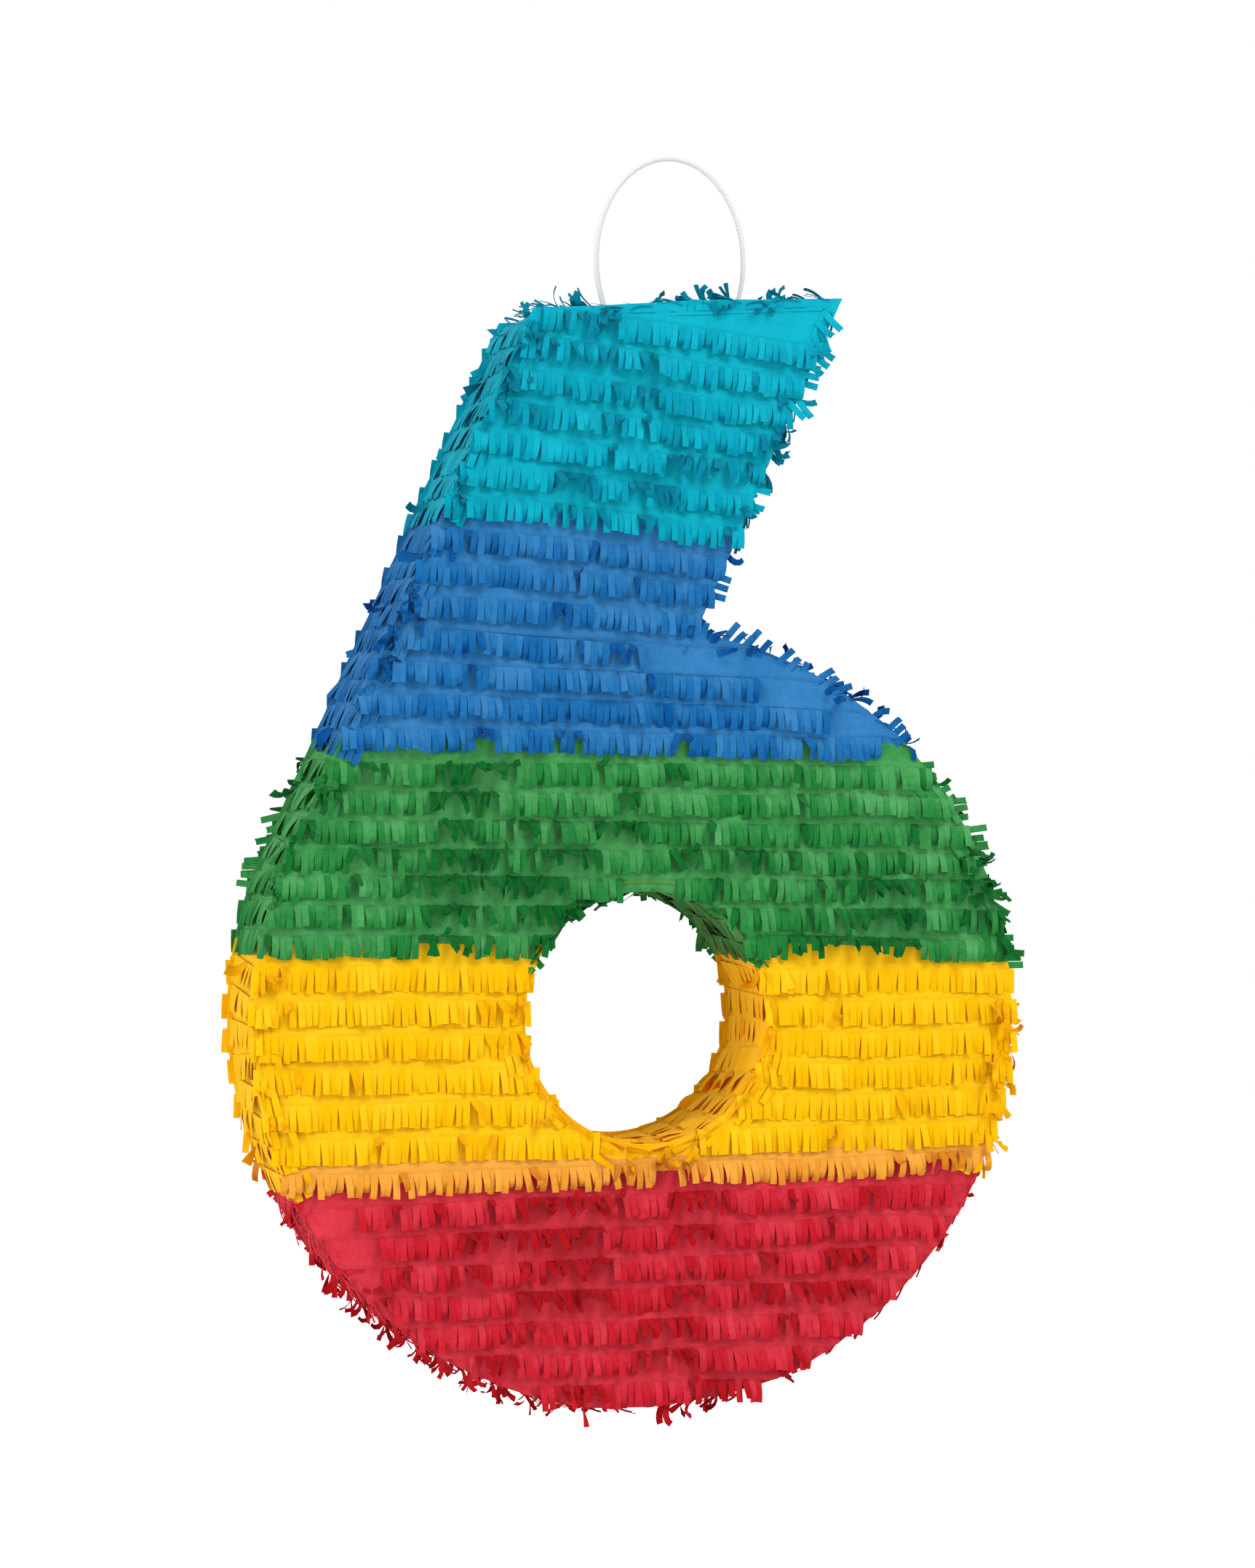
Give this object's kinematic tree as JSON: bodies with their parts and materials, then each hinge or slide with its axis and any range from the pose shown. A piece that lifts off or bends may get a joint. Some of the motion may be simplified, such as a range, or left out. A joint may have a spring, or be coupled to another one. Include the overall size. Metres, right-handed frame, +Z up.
{
  "type": "pinata",
  "caption": "Hollow card pinata shaped as a figure six, dressed in bands of cut tissue fringe, with a filling flap in its back and a cord loop that it hangs by",
  "frame": {"origin": "the inside of the hanging loop's top, where a hook bears", "axes": "+Z up along the height, +X to the right seen from the front, +Y towards the back"},
  "size_m": [0.388, 0.089, 0.629],
  "materials": {
    "kraft_card": "matte",
    "gummed_paper_tape": "matte",
    "white_cord": "matte",
    "tissue_turquoise": "matte",
    "tissue_blue": "matte",
    "tissue_green": "matte",
    "tissue_yellow": "matte",
    "tissue_red": "matte"
  },
  "bodies": {
    "loop": {"hanging_loop": "white_cord"},
    "shell": {"front_panel": "kraft_card", "back_panel": "kraft_card", "wall_top": "kraft_card", "wall_stem_left": "kraft_card", "wall_stem_right": "kraft_card", "wall_bowl": "kraft_card", "wall_hole": "kraft_card", "hanger_plate": "kraft_card", "tape_top_left": "gummed_paper_tape", "tape_top_right": "gummed_paper_tape", "tape_bowl_left": "gummed_paper_tape", "tape_notch": "gummed_paper_tape", "knot_left": "white_cord", "knot_right": "white_cord", "front_fringe_turquoise": "tissue_turquoise", "back_fringe_turquoise": "tissue_turquoise", "front_fringe_blue": "tissue_blue", "back_fringe_blue": "tissue_blue", "front_fringe_green": "tissue_green", "back_fringe_green": "tissue_green", "front_fringe_yellow": "tissue_yellow", "back_fringe_yellow": "tissue_yellow", "front_fringe_red": "tissue_red", "back_fringe_red": "tissue_red", "side_fringe_turquoise": "tissue_turquoise", "side_fringe_red": "tissue_red", "side_fringe_blue_left": "tissue_blue", "side_fringe_blue_right": "tissue_blue", "side_fringe_green_left": "tissue_green", "side_fringe_green_right": "tissue_green", "side_fringe_yellow_left": "tissue_yellow", "side_fringe_yellow_right": "tissue_yellow", "hole_fringe_green": "tissue_green", "hole_fringe_yellow": "tissue_yellow"},
    "flap": {"fill_flap": "kraft_card", "flap_fringe": "tissue_turquoise"}
  },
  "joints": [
    {"name": "loop_swing", "type": "hinge", "parent": "loop", "child": "shell", "pos_m": [-0.03392, 0, -0.07534], "axis": [0.9983, 0, 0.0576], "range_deg": [-70, 70]},
    {"name": "flap_hinge", "type": "hinge", "parent": "shell", "child": "flap", "pos_m": [-0.03, 0.0407, -0.112], "axis": [1, 0, 0], "range_deg": [0, 110]}
  ]
}
